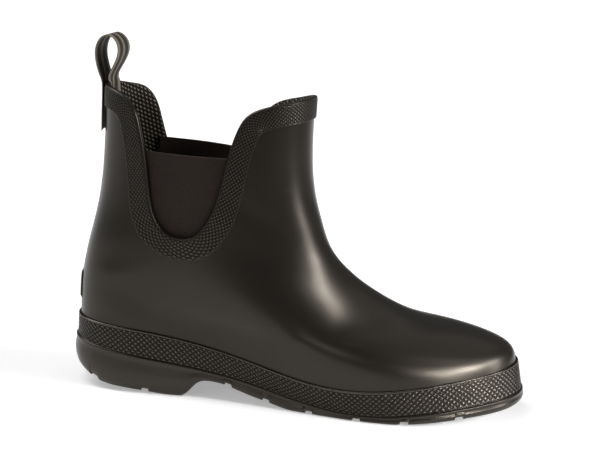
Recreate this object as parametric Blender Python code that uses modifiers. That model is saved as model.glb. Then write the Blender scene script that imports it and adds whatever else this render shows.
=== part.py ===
"""Chelsea rain boot for the right foot: toe to +X, lateral side to -Y, floor at Z = 0.

Sizes are in millimetres and are turned into metres where vertices are made.
"""
import math

import bmesh
import bpy
import numpy as np

MM = 0.001
GAP = 0.3  # clearance where two pieces meet

# Driving sizes
LENGTH = 280.0  # outsole, heel to toe
BALL_WIDTH = 91.5  # upper at the ball, where it meets the sole
HEEL_HEIGHT = 28.6  # floor to the foot of the upper at the heel
INSTEP_HEIGHT = 80.0
WALL = 2.2  # rubber of the upper

BALL_LATERAL = 0.54 * BALL_WIDTH
BALL_MEDIAL = BALL_WIDTH - BALL_LATERAL

# One row for each level of the last, from the sole to just above the collar
# back, front: x of the ends; the rest: height at each of the height stations, as shares of the length
HEIGHT_STATIONS = (0.0, 0.18, 0.4, 0.55, 0.7, 0.87, 1.0)
SECTIONS = np.array((
    (3.8, LENGTH - 3.5, HEEL_HEIGHT, 22.2, 14.3, 6.3, 3.9, 10.5, 15.0),  # foot of the upper
    (4.0, LENGTH - 6.5, HEEL_HEIGHT + 12.5, 38.0, 27.4, 18.8, 18.1, 25.5, 30.9),  # top of the foxing
    (4.0, 266.0, 54.0, 48.3, 41.0, 36.2, 34.0, 37.2, 42.0),  # toe box
    (4.2, 238.0, 61.0, 55.9, 50.0, 46.5, 45.0, 47.0, 50.0),  # toe crown
    (5.0, 204.5, 69.0, 65.0, 60.0, 56.8, 55.0, 55.5, 57.0),  # vamp
    (8.0, 166.5, INSTEP_HEIGHT + 6.0, 84.3, 82.0, 80.2, 79.0, 79.2, INSTEP_HEIGHT),
    (13.0, 152.0, 108.0, 107.8, 107.0, 105.9, 105.0, 104.8, 105.0),  # ankle
    (16.5, 144.5, 140.0, 140.1, 140.0, 139.6, 139.0, 138.4, 138.0),  # shaft
    (17.0, 144.5, 194.0, 193.6, 193.0, 192.5, 192.0, 191.4, 191.0),  # above the collar
))

# Half widths by level: end radius at heel, then at 0.2, 0.45 and 0.7 of the length, end radius at toe
LATERAL = np.array((
    (30.0, 32.0, 37.0, BALL_LATERAL, 34.0),
    (30.0, 31.8, 36.8, BALL_LATERAL - 0.5, 30.0),
    (30.0, 31.7, 36.5, BALL_LATERAL - 1.4, 25.0),
    (30.0, 31.8, 36.0, 43.0, 22.0),
    (30.0, 32.0, 36.0, 39.5, 21.0),
    (30.0, 32.0, 36.2, 36.2, 22.0),
    (30.0, 31.0, 36.8, 34.5, 27.0),
    (30.0, 31.0, 38.2, 35.0, 33.0),
    (30.0, 32.0, 39.5, 36.0, 34.0),
))
MEDIAL = np.array((
    (31.0, 32.0, 32.0, BALL_MEDIAL, 38.0),
    (31.0, 32.0, 32.0, BALL_MEDIAL, 34.0),
    (31.0, 32.0, 32.8, BALL_MEDIAL - 0.8, 28.0),
    (31.0, 32.2, 33.4, 39.0, 23.0),
    (30.0, 32.2, 34.4, 37.4, 21.0),
    (30.0, 32.0, 35.6, 35.6, 22.0),
    (30.0, 31.0, 36.8, 34.5, 27.0),
    (30.0, 31.0, 38.2, 35.0, 33.0),
    (30.0, 32.0, 39.5, 36.0, 34.0),
))
WIDTH_STATIONS = (0.0, 0.2, 0.45, 0.7, 1.0)
LEVELS = tuple(range(len(SECTIONS)))
TOP_LEVEL = LEVELS[-1]
FOXING_LEVEL = 1

# Collar line, laid flat as height against the distance round the shaft from its front
# Points of the line of each side, front to back, about 11 mm apart: distance round, height
COLLAR_LATERAL = np.array((
    (0.0, 182.4),
    (11.3, 182.2),
    (22.7, 181.3),
    (34.0, 179.8),
    (45.2, 177.1),
    (54.0, 171.3),
    (59.2, 160.4),
    (62.5, 149.7),
    (65.3, 138.6),
    (68.4, 127.6),
    (72.5, 117.0),
    (78.2, 107.1),
    (86.0, 98.9),
    (97.0, 98.4),
    (105.7, 105.6),
    (110.2, 116.0),
    (112.3, 127.2),
    (114.0, 138.5),
    (116.1, 149.7),
    (118.9, 160.8),
    (122.9, 171.5),
    (131.2, 179.1),
    (142.1, 182.4),
    (153.5, 183.2),
    (164.9, 183.5),
))
COLLAR_MEDIAL = np.array((
    (0.0, 182.4),
    (11.0, 181.5),
    (21.9, 179.4),
    (32.6, 176.7),
    (43.2, 173.6),
    (51.8, 167.5),
    (56.4, 157.5),
    (60.2, 147.1),
    (63.8, 136.6),
    (67.5, 126.2),
    (71.9, 116.1),
    (77.4, 106.5),
    (85.4, 99.0),
    (95.8, 99.4),
    (102.5, 108.0),
    (107.5, 117.9),
    (111.5, 128.2),
    (115.1, 138.6),
    (118.4, 149.2),
    (121.5, 159.8),
    (125.2, 170.2),
    (132.3, 178.0),
    (143.0, 180.7),
    (153.9, 182.7),
    (164.9, 183.5),
))

TRIM_WIDTH = 12.5
TRIM_ROUND = 6.0  # radius of the lower edge's inner corners
TRIM_THICK = 1.2
RING_HEIGHT = 150.0  # where the distance round the shaft is measured
GORE_TOP_LATERAL = (147.5, 148.5)  # at the front, at the back
GORE_TOP_MEDIAL = (142.3, 147.6)
GORE_LAP = 6.0  # gore hidden behind the wall
GORE_THICK = 1.5
FOXING_THICK = 1.5

# Outsole: bead beyond the upper, and the underside as height against x
RIM = 3.0
RIM_TUCK = 1.0  # how far the tread edge draws in below the bead
TREAD_ROUND = 1.0
UNDERSIDE = np.array((
    (0.0, 18.5),
    (3.0, 15.3),
    (6.0, 12.6),
    (10.0, 10.0),
    (14.0, 7.9),
    (18.5, 5.7),
    (23.0, 3.9),
    (31.0, 2.6),
    (40.0, 1.9),
    (50.0, 1.2),
    (57.0, 0.6),
    (64.0, 0.0),
    (76.5, 0.0),
    (78.5, 1.7),
    (80.5, 4.3),
    (82.5, 7.2),
    (85.0, 9.6),
    (88.0, 10.9),
    (92.0, 11.2),
    (98.0, 10.8),
    (104.0, 9.7),
    (112.0, 7.1),
    (120.0, 4.9),
    (130.0, 2.8),
    (138.0, 0.9),
    (143.0, 0.0),
    (206.0, 0.0),
    (218.0, 0.9),
    (227.0, 1.8),
    (238.0, 3.3),
    (250.0, 4.9),
    (261.0, 5.9),
    (272.0, 7.0),
    (280.0, 9.0),
))
GROOVE_WIDTH = 5.0
GROOVE_DEPTH = 2.6
GROOVES = (20.0, 52.5, 104.5, 128.5, 155.5, 184.5, 212.5, 243.5)  # x of each groove

INSOLE_THICK = 4.0
INSOLE_CLEAR = 0.8

PATCH_HALF = math.radians(11.0)
PATCH_LOW = 51.0
PATCH_HIGH = 67.0
PATCH_THICK = 0.8

# Pull loop tape: path of its middle, how far it turns about the vertical, how far its edges lie forward
TAPE_WIDTH = 20.0
TAPE_THICK = 0.7
TAPE_PATH = np.array((
    # x, z, turn in degrees, bow
    (14.75, 155.0, 0.0, 1.6),
    (14.75, 168.0, 0.0, 1.6),
    (14.75, 179.0, 0.0, 1.6),
    (14.8, 183.4, 1.0, 1.5),
    (15.35, 186.3, 4.0, 0.7),
    (14.9, 189.6, 6.0, 0.1),
    (13.7, 193.6, 6.5, 0.0),
    (12.6, 198.6, 6.5, 0.0),
    (12.4, 204.0, 6.5, 0.0),
    (14.5, 210.1, 6.5, 0.0),
    (19.5, 213.0, 5.5, 0.0),
    (24.5, 209.8, 6.0, 0.0),
    (26.3, 204.0, 6.5, 0.0),
    (24.9, 198.0, 6.0, 0.0),
    (22.0, 192.0, 4.5, 0.0),
    (20.4, 188.5, 3.5, 0.1),
    (19.95, 185.6, 2.0, 0.7),
    (20.2, 182.6, 0.0, 1.7),
    (20.25, 172.0, 0.0, 1.85),
    (20.3, 164.0, 0.0, 1.85),
))

# Mesh fineness
COLUMNS = 60
UPPER_ROWS = 22
TRIM_ROWS = 10
EDGE_POINTS = 58
FAR = 400.0  # beyond the boot, for cutters
MERGE = 3.0  # half of the strip across which the lateral outline of a cutter turns into the medial one


def cardinal(knots, at):
    """Weights, one for each knot, of the natural cubic spline through values given at the knots."""
    knots = np.asarray(knots, float)
    at = np.asarray(at, float)
    count = len(knots)
    step = np.diff(knots)
    system = np.eye(count)
    change = np.zeros((count, count))
    for k in range(1, count - 1):
        system[k, k - 1:k + 2] = step[k - 1], 2 * (step[k - 1] + step[k]), step[k]
        change[k, k - 1] = 6 / step[k - 1]
        change[k, k + 1] = 6 / step[k]
        change[k, k] = -change[k, k - 1] - change[k, k + 1]
    bend = np.linalg.solve(system, change)
    cell = np.clip(np.searchsorted(knots, at) - 1, 0, count - 2)
    width = step[cell]
    right = (at - knots[cell]) / width
    left = 1 - right
    unit = np.eye(count)
    curve = (left**3 - left)[..., None] * bend[cell] + (right**3 - right)[..., None] * bend[cell + 1]
    line = left[..., None] * unit[cell] + right[..., None] * unit[cell + 1]
    return line + curve * (width**2 / 6)[..., None]


def surface(angle, level):
    """Outside of the upper. Angle runs from the heel by the medial side to the toe at pi and back."""
    angle, level = np.broadcast_arrays(np.asarray(angle, float), np.asarray(level, float))
    rows = cardinal(LEVELS, level)
    section = rows @ SECTIONS
    medial = (np.sin(angle) >= 0)[..., None]
    halves = np.where(medial, rows @ MEDIAL, rows @ LATERAL)
    length = section[..., 1] - section[..., 0]
    along = (1 - np.cos(angle)) / 2
    inner = np.array(WIDTH_STATIONS[1:-1])
    spread = np.empty(halves.shape)
    spread[..., 0] = np.sqrt(halves[..., 0] * length / 2)
    spread[..., 1:-1] = halves[..., 1:-1] / (2 * np.sqrt(inner * (1 - inner)))
    spread[..., -1] = np.sqrt(halves[..., -1] * length / 2)
    x = section[..., 0] + length * along
    y = np.sin(angle) * (cardinal(WIDTH_STATIONS, along) * spread).sum(-1)
    z = (cardinal(HEIGHT_STATIONS, along) * section[..., 2:]).sum(-1)
    return np.stack([x, y, z], -1)


def offset(angle, level, distance):
    """Point that far outside the upper's surface, along its normal."""
    small = 0.001
    around = surface(angle + small, level) - surface(angle - small, level)
    upward = surface(angle, np.minimum(level + small, TOP_LEVEL)) - surface(angle, np.maximum(level - small, 0))
    normal = np.cross(upward, around)
    normal /= np.linalg.norm(normal, axis=-1, keepdims=True)
    return surface(angle, level) + normal * np.asarray(distance)[..., None]


def level_at(angle, height):
    """Level at which the surface has that height, by halving."""
    low = np.zeros(np.shape(angle))
    high = np.full(np.shape(angle), float(TOP_LEVEL))
    for _ in range(40):
        middle = (low + high) / 2
        above = surface(angle, middle)[..., 2] > height
        high = np.where(above, middle, high)
        low = np.where(above, low, middle)
    return (low + high) / 2


RING_ANGLE = np.linspace(math.pi, 2 * math.pi, 361)
RING = surface(RING_ANGLE, level_at(RING_ANGLE, RING_HEIGHT))
RING_GIRTH = np.concatenate([[0.0], np.cumsum(np.linalg.norm(np.diff(RING, axis=0), axis=1))])
HALF_GIRTH = RING_GIRTH[-1]
GIRTH = np.linspace(0.0, HALF_GIRTH, 1201)


def collar_height(line):
    """Height over GIRTH of the collar line of one side, a smooth curve through its points."""
    curve = cardinal(range(len(line)), np.linspace(0.0, len(line) - 1.0, 1201)) @ line
    return np.interp(GIRTH, curve[:, 0], curve[:, 1])


def moved(height, distance):
    """Line at a distance from a line over GIRTH, measured across it: above it, or below if negative."""
    girth = np.concatenate([-GIRTH[:0:-1], GIRTH, 2 * HALF_GIRTH - GIRTH[-2::-1]])
    known = np.concatenate([height[:0:-1], height, height[-2::-1]])
    apart = GIRTH[:, None] - girth[None, :]
    reach = np.sqrt(np.maximum(distance**2 - apart**2, 0))
    near = np.abs(apart) < abs(distance)
    if distance > 0:
        return np.where(near, known[None, :] + reach, -FAR).max(1)
    return np.where(near, known[None, :] - reach, FAR).min(1)


def trim_low(line):
    """Lower edge of the trim over GIRTH: its width below the collar line, its inner corners rounded."""
    return moved(moved(collar_height(line), -TRIM_WIDTH - TRIM_ROUND), TRIM_ROUND)


def side_line(height):
    """Side-view points (x, z), front to back, of a line given as height over GIRTH, evenly spaced."""
    travelled = np.concatenate([[0.0], np.cumsum(np.hypot(np.diff(GIRTH), np.diff(height)))])
    even = np.linspace(0.0, travelled[-1], EDGE_POINTS)
    girth = np.interp(even, travelled, GIRTH)
    z = np.interp(even, travelled, height)
    angle = np.interp(girth, RING_GIRTH, RING_ANGLE)
    x = surface(angle, level_at(angle, z))[:, 0]
    return np.stack([x, z], -1)


def with_ends(line):
    """The line, run straight on past both ends of the boot."""
    return np.concatenate([[(FAR, line[0, 1])], line, [(-FAR, line[-1, 1])]])


COLLAR = [with_ends(side_line(collar_height(line))) for line in (COLLAR_LATERAL, COLLAR_MEDIAL)]
TRIM_LOW = [with_ends(side_line(trim_low(line))) for line in (COLLAR_LATERAL, COLLAR_MEDIAL)]

for scene_object in list(bpy.data.objects):
    bpy.data.objects.remove(scene_object)

boot = bpy.data.collections.new("rain_boot")
cutters = bpy.data.collections.new("cutters")
bpy.context.scene.collection.children.link(boot)
bpy.context.scene.collection.children.link(cutters)


def material(name, colour, roughness):
    """Plain material for one sub-part."""
    made = bpy.data.materials.new(name)
    made.use_nodes = True
    shader = made.node_tree.nodes["Principled BSDF"]
    shader.inputs["Base Color"].default_value = (*colour, 1.0)
    shader.inputs["Roughness"].default_value = roughness
    return made


def rim_loop(angle):
    """Outline of the sole at the foot of the upper, pushed out by the bead."""
    return offset(angle, np.zeros(len(angle)), np.full(len(angle), RIM))


EVEN_ANGLE = np.linspace(0.0, 2 * math.pi, COLUMNS, endpoint=False)
EXTENT = rim_loop(np.linspace(0.0, 2 * math.pi, 720))
CENTRE = (EXTENT.max(0) + EXTENT.min(0)) / 2
CENTRE[2] = 0.0


def add_object(name, mesh_builder, collection, colour=None, roughness=0.5):
    """Object from a finished bmesh, with its own material when a colour is given."""
    mesh = bpy.data.meshes.new(name)
    bmesh.ops.recalc_face_normals(mesh_builder, faces=mesh_builder.faces)
    mesh_builder.to_mesh(mesh)
    mesh_builder.free()
    made = bpy.data.objects.new(name, mesh)
    collection.objects.link(made)
    if colour is not None:
        mesh.materials.append(material(name, colour, roughness))
    return made


def grid(points, around, closed):
    """Quads between rows of points; around joins each row's ends, closed joins the last row to the first."""
    builder = bmesh.new()
    points = (points - CENTRE) * MM
    rows = [[builder.verts.new(point) for point in row] for row in points]
    if around:
        rows = [row + row[:1] for row in rows]
    if closed:
        rows = rows + rows[:1]
    for low, high in zip(rows, rows[1:]):
        for k in range(len(low) - 1):
            builder.faces.new((low[k], low[k + 1], high[k + 1], high[k]))
    return builder, rows


def ladder(builder, loop):
    """Cap over a loop whose points pair off across the boot."""
    count = len(loop) - 1
    for k in range(count // 2):
        corners = (loop[k], loop[k + 1], loop[count - k - 1], loop[count - k])
        builder.faces.new([c for n, c in enumerate(corners) if c not in corners[:n]])


def prism(name, sections):
    """Cutter through side-view outlines of equal count, each at its place across the boot."""
    points = np.array([[(x, y, z) for x, z in outline] for y, outline in sections])
    builder, rows = grid(points, True, False)
    builder.faces.new(rows[0][:-1])
    builder.faces.new(rows[-1][:-1])
    made = add_object(name, builder, cutters)
    made.hide_render = True
    made.display_type = 'WIRE'
    return made


def two_sided(lateral, medial):
    """Sections of a cutter that has one outline on the lateral side and another on the medial side."""
    return (-FAR, lateral), (-MERGE, lateral), (MERGE, medial), (FAR, medial)


def cut(target, cutter, operation):
    """Boolean of the target with a cutter."""
    boolean = target.modifiers.new(cutter.name, 'BOOLEAN')
    boolean.operation = operation
    boolean.solver = 'EXACT'
    boolean.object = cutter


def thicken(target, thickness, side):
    """Wall grown from an open surface, outward for side 1 and inward for side -1."""
    solidify = target.modifiers.new("wall", 'SOLIDIFY')
    solidify.thickness = thickness * MM
    solidify.offset = side
    solidify.use_even_offset = True


def add_upper():
    levels = np.linspace(0.0, TOP_LEVEL, UPPER_ROWS)
    builder, _ = grid(surface(EVEN_ANGLE[None, :], levels[:, None]), True, False)
    made = add_object("upper", builder, boot, (0.020, 0.018, 0.017), 0.45)
    thicken(made, WALL, -1)
    above = [np.concatenate([line, [(-FAR, FAR), (FAR, FAR)]]) for line in COLLAR]
    cut(made, prism("above_collar", two_sided(*above)), 'DIFFERENCE')


def add_trim():
    levels = np.linspace(4.4, TOP_LEVEL, TRIM_ROWS)
    level = np.broadcast_to(levels[:, None], (TRIM_ROWS, COLUMNS))
    angle = np.broadcast_to(EVEN_ANGLE[None, :], level.shape)
    builder, _ = grid(offset(angle, level, np.full(level.shape, GAP)), True, False)
    made = add_object("collar_trim", builder, boot, (0.045, 0.042, 0.040), 0.6)
    thicken(made, TRIM_THICK, 1)
    band = [np.concatenate([high, low[::-1]]) for high, low in zip(COLLAR, TRIM_LOW)]
    cut(made, prism("trim_band", two_sided(*band)), 'INTERSECT')


def add_gore(name, side, collar, tops):
    """Side 1 is medial, -1 lateral; tops are the heights of its upper edge at the front and at the back."""
    reach = np.radians(np.linspace(42.0, 142.0, 21))
    angles = math.pi + reach if side < 0 else math.pi - reach
    levels = np.linspace(4.9, 7.4, 9)
    level, angle = np.meshgrid(levels, angles, indexing="ij")
    builder, _ = grid(offset(angle, level, np.full(level.shape, -(WALL + GAP))), False, False)
    made = add_object(name, builder, boot, (0.008, 0.008, 0.009), 0.8)
    if made.data.polygons[0].normal.y * side < 0:
        made.data.flip_normals()
    thicken(made, GORE_THICK, -1)
    line = side_line(moved(collar_height(collar), -GORE_LAP))
    line = line[line[:, 1] < min(tops) - 1.0]
    outline = np.concatenate([[(line[0, 0], tops[0])], line, [(line[-1, 0], tops[1])]])
    ends = (1.0, FAR) if side > 0 else (-FAR, -1.0)
    cut(made, prism(name + "_shape", [(y, outline) for y in ends]), 'INTERSECT')


def add_foxing():
    rows = ((GAP, 0.0), (GAP, 0.5), (GAP, 1.0), (GAP + FOXING_THICK, 1.0), (GAP + FOXING_THICK, 0.5),
            (GAP + FOXING_THICK, 0.0))
    loops = [offset(EVEN_ANGLE, np.full(COLUMNS, level * FOXING_LEVEL), np.full(COLUMNS, out))
             for out, level in rows]
    builder, _ = grid(np.array(loops), True, True)
    add_object("foxing", builder, boot, (0.022, 0.020, 0.019), 0.55)


def add_outsole():
    """Loops from the bead down the side to the tread, with a cap above and one below."""
    start = SECTIONS[0, 0] - RIM
    reach = SECTIONS[0, 1] + RIM - start
    stations = np.concatenate([UNDERSIDE[1:-1, 0], np.linspace(145.0, 200.0, 6), (275.0, 278.0)])
    half = np.arccos(np.clip(1 - 2 * (np.unique(np.round(stations, 1)) - start) / reach, -1, 1))
    half = half[(half > 0.05) & (half < math.pi - 0.05)]
    half = half[np.concatenate([[True], np.diff(half) > 0.012])]
    angle = np.concatenate([[0.0], half, [math.pi], 2 * math.pi - half[::-1]])
    foot = surface(angle, np.zeros(len(angle)))
    top_z = foot[:, 2] - 1.5 * GAP
    loops = []
    for out, drop in ((RIM - 1.2, 0.0), (RIM - 0.3, 0.1), (RIM, 0.4), (RIM - RIM_TUCK, 1.0)):
        loop = offset(angle, np.zeros(len(angle)), np.full(len(angle), out))
        low = np.interp(loop[:, 0], UNDERSIDE[:, 0], UNDERSIDE[:, 1]) + TREAD_ROUND
        loop[:, 2] = top_z + (low - top_z) * drop
        loops.append(loop)
    tread = offset(angle, np.zeros(len(angle)), np.full(len(angle), RIM - RIM_TUCK - 2.0 * TREAD_ROUND))
    tread[:, 2] = np.interp(tread[:, 0], UNDERSIDE[:, 0], UNDERSIDE[:, 1])
    loops.append(tread)
    builder, rows = grid(np.array(loops), True, False)
    ladder(builder, rows[0])
    ladder(builder, rows[-1])
    made = add_object("outsole", builder, boot, (0.018, 0.017, 0.016), 0.6)
    for number, x in enumerate(GROOVES):
        ends = np.array((x - GROOVE_WIDTH / 2, x + GROOVE_WIDTH / 2))
        low = np.interp(ends, UNDERSIDE[:, 0], UNDERSIDE[:, 1])
        ceiling = low + GROOVE_DEPTH
        outline = ((ends[0], -FAR), (ends[1], -FAR), (ends[1], ceiling[1]), (ends[0], ceiling[0]))
        cut(made, prism("groove_%d" % number, ((-FAR, outline), (FAR, outline))), 'DIFFERENCE')


def add_insole():
    inset = -(WALL + INSOLE_CLEAR)
    loops = []
    for rise in (0.0, INSOLE_THICK):
        level = level_at(EVEN_ANGLE, surface(EVEN_ANGLE, np.zeros(COLUMNS))[:, 2] + rise)
        loop = offset(EVEN_ANGLE, level, np.full(COLUMNS, inset))
        loop[:, 2] = surface(EVEN_ANGLE, np.zeros(COLUMNS))[:, 2] + rise
        loops.append(loop)
    builder, rows = grid(np.array(loops), True, False)
    ladder(builder, rows[0])
    ladder(builder, rows[1])
    add_object("insole", builder, boot, (0.05, 0.05, 0.05), 0.9)


def add_patch():
    angles = np.linspace(-PATCH_HALF, PATCH_HALF, 9)
    heights = np.linspace(PATCH_LOW, PATCH_HIGH, 5)
    height, angle = np.meshgrid(heights, angles, indexing="ij")
    level = level_at(angle, height)
    builder, _ = grid(offset(angle, level, np.full(level.shape, GAP)), False, False)
    made = add_object("heel_patch", builder, boot, (0.025, 0.023, 0.022), 0.5)
    if made.data.polygons[0].normal.x > 0:
        made.data.flip_normals()
    thicken(made, PATCH_THICK, 1)


def add_loop():
    """Tape of constant section carried along its path, turned and bowed row by row."""
    place = np.linspace(0.0, len(TAPE_PATH) - 1.0, 43)
    weights = cardinal(range(len(TAPE_PATH)), place)
    path = weights @ TAPE_PATH
    ahead = np.gradient(path[:, :2], axis=0)
    ahead /= np.linalg.norm(ahead, axis=1, keepdims=True)
    side = np.stack([-ahead[:, 1], ahead[:, 0]], -1)
    across = np.linspace(-0.5, 0.5, 5)
    turn = np.radians(path[:, 2])[:, None]
    faces = []
    for lift, order in ((TAPE_THICK / 2, across), (-TAPE_THICK / 2, across[::-1])):
        y = order[None, :] * TAPE_WIDTH * np.cos(turn)
        x = path[:, None, 0] + order * TAPE_WIDTH * np.sin(turn) + path[:, None, 3] * (2 * order) ** 2
        z = np.broadcast_to(path[:, None, 1], x.shape)
        faces.append(np.stack([x + side[:, None, 0] * lift, y, z + side[:, None, 1] * lift], -1))
    builder, rows = grid(np.concatenate(faces, 1), True, False)
    for row in (rows[0], rows[-1]):
        for k in range(4):
            builder.faces.new((row[k], row[k + 1], row[8 - k], row[9 - k]))
    add_object("pull_loop", builder, boot, (0.10, 0.095, 0.085), 0.8)


add_outsole()
add_upper()
add_insole()
add_foxing()
add_trim()
add_gore("gore_lateral", -1, COLLAR_LATERAL, GORE_TOP_LATERAL)
add_gore("gore_medial", 1, COLLAR_MEDIAL, GORE_TOP_MEDIAL)
add_patch()
add_loop()
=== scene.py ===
import math

import bpy
import numpy as np
from mathutils import Matrix, Vector


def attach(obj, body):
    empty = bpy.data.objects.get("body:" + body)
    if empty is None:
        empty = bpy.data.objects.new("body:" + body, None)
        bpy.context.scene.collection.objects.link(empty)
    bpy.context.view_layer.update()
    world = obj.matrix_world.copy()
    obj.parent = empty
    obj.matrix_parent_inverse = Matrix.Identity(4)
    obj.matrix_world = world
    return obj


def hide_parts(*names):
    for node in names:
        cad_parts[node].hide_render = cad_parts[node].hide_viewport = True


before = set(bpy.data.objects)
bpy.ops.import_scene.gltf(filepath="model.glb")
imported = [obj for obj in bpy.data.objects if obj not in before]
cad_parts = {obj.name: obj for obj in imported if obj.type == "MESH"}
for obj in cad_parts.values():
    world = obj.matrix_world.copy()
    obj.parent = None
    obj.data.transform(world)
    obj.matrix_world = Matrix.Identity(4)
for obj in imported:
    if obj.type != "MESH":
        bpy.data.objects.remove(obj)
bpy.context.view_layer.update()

MM = 0.001
GAP = 0.3  # clearance between neighbouring pieces, in millimetres

# The last: the sizes and level tables of the boot, in millimetres, heel back near x = 0
LENGTH = 280.0
BALL_WIDTH = 91.5
HEEL_HEIGHT = 28.6
INSTEP_HEIGHT = 80.0
WALL = 2.2
BALL_LATERAL = 0.54 * BALL_WIDTH
BALL_MEDIAL = BALL_WIDTH - BALL_LATERAL
# x at the back and front, then height at each of the height stations, as shares of the length
HEIGHT_STATIONS = (0.0, 0.18, 0.4, 0.55, 0.7, 0.87, 1.0)
SECTIONS = np.array((
    (3.8, LENGTH - 3.5, HEEL_HEIGHT, 22.2, 14.3, 6.3, 3.9, 10.5, 15.0),
    (4.0, LENGTH - 6.5, HEEL_HEIGHT + 12.5, 38.0, 27.4, 18.8, 18.1, 25.5, 30.9),
    (4.0, 266.0, 54.0, 48.3, 41.0, 36.2, 34.0, 37.2, 42.0),
    (4.2, 238.0, 61.0, 55.9, 50.0, 46.5, 45.0, 47.0, 50.0),
    (5.0, 204.5, 69.0, 65.0, 60.0, 56.8, 55.0, 55.5, 57.0),
    (8.0, 166.5, INSTEP_HEIGHT + 6.0, 84.3, 82.0, 80.2, 79.0, 79.2, INSTEP_HEIGHT),
    (13.0, 152.0, 108.0, 107.8, 107.0, 105.9, 105.0, 104.8, 105.0),
    (16.5, 144.5, 140.0, 140.1, 140.0, 139.6, 139.0, 138.4, 138.0),
    (17.0, 144.5, 194.0, 193.6, 193.0, 192.5, 192.0, 191.4, 191.0),
))
# end radius at heel, half widths at 0.2, 0.45 and 0.7 of the length, end radius at toe
LATERAL = np.array((
    (30.0, 32.0, 37.0, BALL_LATERAL, 34.0),
    (30.0, 31.8, 36.8, BALL_LATERAL - 0.5, 30.0),
    (30.0, 31.7, 36.5, BALL_LATERAL - 1.4, 25.0),
    (30.0, 31.8, 36.0, 43.0, 22.0),
    (30.0, 32.0, 36.0, 39.5, 21.0),
    (30.0, 32.0, 36.2, 36.2, 22.0),
    (30.0, 31.0, 36.8, 34.5, 27.0),
    (30.0, 31.0, 38.2, 35.0, 33.0),
    (30.0, 32.0, 39.5, 36.0, 34.0),
))
MEDIAL = np.array((
    (31.0, 32.0, 32.0, BALL_MEDIAL, 38.0),
    (31.0, 32.0, 32.0, BALL_MEDIAL, 34.0),
    (31.0, 32.0, 32.8, BALL_MEDIAL - 0.8, 28.0),
    (31.0, 32.2, 33.4, 39.0, 23.0),
    (30.0, 32.2, 34.4, 37.4, 21.0),
    (30.0, 32.0, 35.6, 35.6, 22.0),
    (30.0, 31.0, 36.8, 34.5, 27.0),
    (30.0, 31.0, 38.2, 35.0, 33.0),
    (30.0, 32.0, 39.5, 36.0, 34.0),
))
WIDTH_STATIONS = (0.0, 0.2, 0.45, 0.7, 1.0)
LEVELS = tuple(range(len(SECTIONS)))
TOP_LEVEL = LEVELS[-1]

# Collar line of each side, laid flat, front to back: distance round the shaft from its front, height
COLLAR_LATERAL = np.array((
    (0.0, 182.4), (11.3, 182.2), (22.7, 181.3), (34.0, 179.8), (45.2, 177.1), (54.0, 171.3), (59.2, 160.4),
    (62.5, 149.7), (65.3, 138.6), (68.4, 127.6), (72.5, 117.0), (78.2, 107.1), (86.0, 98.9), (97.0, 98.4),
    (105.7, 105.6), (110.2, 116.0), (112.3, 127.2), (114.0, 138.5), (116.1, 149.7), (118.9, 160.8),
    (122.9, 171.5), (131.2, 179.1), (142.1, 182.4), (153.5, 183.2), (164.9, 183.5),
))
COLLAR_MEDIAL = np.array((
    (0.0, 182.4), (11.0, 181.5), (21.9, 179.4), (32.6, 176.7), (43.2, 173.6), (51.8, 167.5), (56.4, 157.5),
    (60.2, 147.1), (63.8, 136.6), (67.5, 126.2), (71.9, 116.1), (77.4, 106.5), (85.4, 99.0), (95.8, 99.4),
    (102.5, 108.0), (107.5, 117.9), (111.5, 128.2), (115.1, 138.6), (118.4, 149.2), (121.5, 159.8),
    (125.2, 170.2), (132.3, 178.0), (143.0, 180.7), (153.9, 182.7), (164.9, 183.5),
))
TRIM_WIDTH = 12.5
TRIM_ROUND = 6.0
BEAD_IN = 0.55  # middle of the turned collar edge, inside the upper's outer face
BEAD_HALF = (1.6, 0.8)  # half width of that edge through the wall, half height
RING_HEIGHT = 150.0
GORE_TOP_LATERAL = (147.5, 148.5)  # at the front, at the back
GORE_TOP_MEDIAL = (142.3, 147.6)
GORE_LAP = 6.0
GORE_THICK = 1.5
GORE_SET_BACK = 0.22  # feet of its ribs behind the wall's clearance
HEM_TALL = 3.0
LINING_LOW = 0.3  # level at which the lining starts
FAR = 400.0  # a height beyond every line of the collar

# Outsole
RIM = 3.0
UNDERSIDE = np.array((
    (0.0, 18.5), (3.0, 15.3), (6.0, 12.6), (10.0, 10.0), (14.0, 7.9), (18.5, 5.7), (23.0, 3.9), (31.0, 2.6),
    (40.0, 1.9), (50.0, 1.2), (57.0, 0.6), (64.0, 0.0), (76.5, 0.0), (78.5, 1.7), (80.5, 4.3), (82.5, 7.2),
    (85.0, 9.6), (88.0, 10.9), (92.0, 11.2), (98.0, 10.8), (104.0, 9.7), (112.0, 7.1), (120.0, 4.9),
    (130.0, 2.8), (138.0, 0.9), (143.0, 0.0), (206.0, 0.0), (218.0, 0.9), (227.0, 1.8), (238.0, 3.3),
    (250.0, 4.9), (261.0, 5.9), (272.0, 7.0), (280.0, 9.0),
))
GROOVE_WIDTH = 5.0
GROOVE_DEPTH = 2.6
GROOVE_DRAWN = 0.6 * GROOVE_DEPTH  # shallower than the solid's, as the notches look
GROOVES = np.array((20.0, 52.5, 104.5, 128.5, 155.5, 184.5, 212.5, 243.5))
SOLE_LEAST = 1.0  # thinnest wall
FULL_WALL = 6.0  # wall height from which the profile has its full size
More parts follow.
